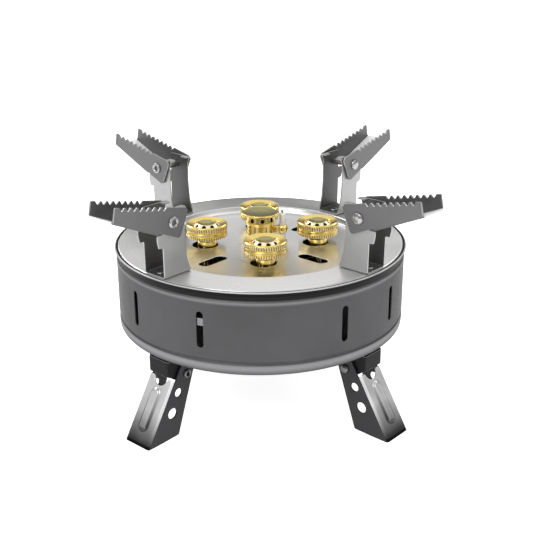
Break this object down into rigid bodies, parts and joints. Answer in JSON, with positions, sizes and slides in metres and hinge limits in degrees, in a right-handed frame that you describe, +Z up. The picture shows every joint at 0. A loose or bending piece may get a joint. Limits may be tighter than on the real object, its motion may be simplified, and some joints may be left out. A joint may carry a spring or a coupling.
{
  "type": "folding camping gas stove",
  "caption": "Low round gas stove: drum under a steel top plate, brass burner heads, toothed pot arms that fold over the top and channel legs that fold in underneath.",
  "frame": {"origin": "on the ground, under the middle of the drum, with the legs unfolded", "axes": "+Z up, -Y to the front, +X to the right; the gas inlet leaves at the back, along +Y"},
  "size_m": [0.1754, 0.1754, 0.1376],
  "materials": {
    "drum_grey": "satin grey heat-resistant paint",
    "stainless_plate": "brushed in circles",
    "brass": "polished",
    "cap_steel": "turned",
    "zinc_steel": "zinc plated",
    "copper_pipe": "drawn tube",
    "seal_rubber": "moulded",
    "ceramic": null,
    "wire_steel": "drawn wire",
    "satin_steel": "satin",
    "leg_steel": "satin",
    "black_steel": "satin black",
    "rivet_steel": "polished"
  },
  "bodies": {
    "root": {"arm_bracket_front_left": "satin_steel", "arm_bracket_front_right": "satin_steel", "arm_bracket_rear_left": "satin_steel", "arm_bracket_rear_right": "satin_steel", "arm_bracket_rivets": "rivet_steel", "arm_rivet_front_left": "rivet_steel", "arm_rivet_front_right": "rivet_steel", "arm_rivet_rear_left": "rivet_steel", "arm_rivet_rear_right": "rivet_steel", "burner_cap_front": "cap_steel", "burner_cap_left": "cap_steel", "burner_cap_middle": "cap_steel", "burner_cap_rear": "cap_steel", "burner_cap_right": "cap_steel", "burner_head_front": "brass", "burner_head_left": "brass", "burner_head_middle": "brass", "burner_head_rear": "brass", "burner_head_right": "brass", "drum": "drum_grey", "electrode_ceramic": "ceramic", "electrode_clip": "brass", "electrode_wire": "wire_steel", "feed_pipe": "copper_pipe", "gas_inlet": "brass", "gas_jets": "brass", "inlet_nut": "zinc_steel", "inlet_seal": "seal_rubber", "jet_holder_front": "zinc_steel", "jet_holder_left": "zinc_steel", "jet_holder_rear": "zinc_steel", "jet_holder_right": "zinc_steel", "leg_bracket_front_left": "black_steel", "leg_bracket_front_right": "black_steel", "leg_bracket_rear_left": "black_steel", "leg_bracket_rear_right": "black_steel", "leg_bracket_rivets": "rivet_steel", "leg_rivet_front_left": "rivet_steel", "leg_rivet_front_right": "rivet_steel", "leg_rivet_rear_left": "rivet_steel", "leg_rivet_rear_right": "rivet_steel", "manifold_hub": "zinc_steel", "manifold_pipe_front": "copper_pipe", "manifold_pipe_left": "copper_pipe", "manifold_pipe_rear": "copper_pipe", "manifold_pipe_right": "copper_pipe", "top_plate": "stainless_plate", "wall_strap": "zinc_steel"},
    "rear_right_arm": {"pot_arm_rear_right": "satin_steel"},
    "rear_right_leg": {"leg_rear_right": "leg_steel"},
    "rear_left_arm": {"pot_arm_rear_left": "satin_steel"},
    "rear_left_leg": {"leg_rear_left": "leg_steel"},
    "front_left_arm": {"pot_arm_front_left": "satin_steel"},
    "front_left_leg": {"leg_front_left": "leg_steel"},
    "front_right_arm": {"pot_arm_front_right": "satin_steel"},
    "front_right_leg": {"leg_front_right": "leg_steel"}
  },
  "joints": [
    {"name": "rear_right_arm_fold", "type": "hinge", "parent": "root", "child": "rear_right_arm", "pos_m": [0.0536, 0.0536, 0.1215], "axis": [0.7071, -0.7071, 0], "range_deg": [0, 158]},
    {"name": "rear_right_leg_fold", "type": "hinge", "parent": "root", "child": "rear_right_leg", "pos_m": [0.0495, 0.0495, 0.0345], "axis": [-0.7071, 0.7071, 0], "range_deg": [0, 118]},
    {"name": "rear_left_arm_fold", "type": "hinge", "parent": "root", "child": "rear_left_arm", "pos_m": [-0.0536, 0.0536, 0.1215], "axis": [0.7071, 0.7071, 0], "range_deg": [0, 158]},
    {"name": "rear_left_leg_fold", "type": "hinge", "parent": "root", "child": "rear_left_leg", "pos_m": [-0.0495, 0.0495, 0.0345], "axis": [-0.7071, -0.7071, 0], "range_deg": [0, 118]},
    {"name": "front_left_arm_fold", "type": "hinge", "parent": "root", "child": "front_left_arm", "pos_m": [-0.0536, -0.0536, 0.1215], "axis": [-0.7071, 0.7071, 0], "range_deg": [0, 158]},
    {"name": "front_left_leg_fold", "type": "hinge", "parent": "root", "child": "front_left_leg", "pos_m": [-0.0495, -0.0495, 0.0345], "axis": [0.7071, -0.7071, 0], "range_deg": [0, 118]},
    {"name": "front_right_arm_fold", "type": "hinge", "parent": "root", "child": "front_right_arm", "pos_m": [0.0536, -0.0536, 0.1215], "axis": [-0.7071, -0.7071, 0], "range_deg": [0, 158]},
    {"name": "front_right_leg_fold", "type": "hinge", "parent": "root", "child": "front_right_leg", "pos_m": [0.0495, -0.0495, 0.0345], "axis": [0.7071, 0.7071, 0], "range_deg": [0, 118]}
  ]
}
